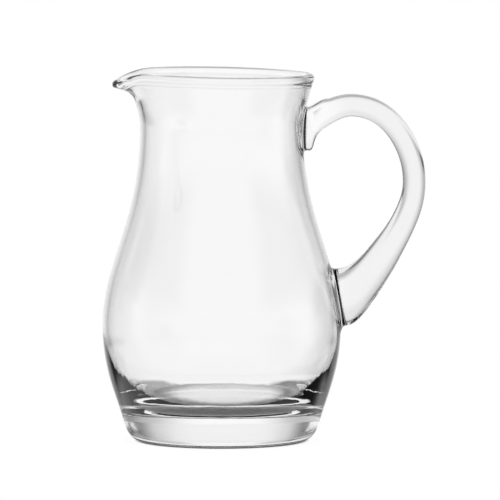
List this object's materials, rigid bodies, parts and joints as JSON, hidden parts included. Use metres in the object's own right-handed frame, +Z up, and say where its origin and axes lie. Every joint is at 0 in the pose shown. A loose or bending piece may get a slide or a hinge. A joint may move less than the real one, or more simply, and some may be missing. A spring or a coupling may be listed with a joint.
{
  "type": "glass carafe",
  "caption": "Clear glass carafe with a round belly, a narrow neck, a pulled pouring spout, a heavy solid base and an applied loop handle.",
  "frame": {"origin": "centre of the flat underside of the base, on the axis of the bowl", "axes": "+Z up along the axis of the bowl, +X towards the handle, -X towards the spout"},
  "size_m": [0.1622, 0.1196, 0.1849],
  "materials": {
    "clear_glass": "clear, smooth, fire-polished glass"
  },
  "bodies": {
    "root": {"bowl": "clear_glass", "base": "clear_glass", "handle": "clear_glass"}
  },
  "joints": []
}
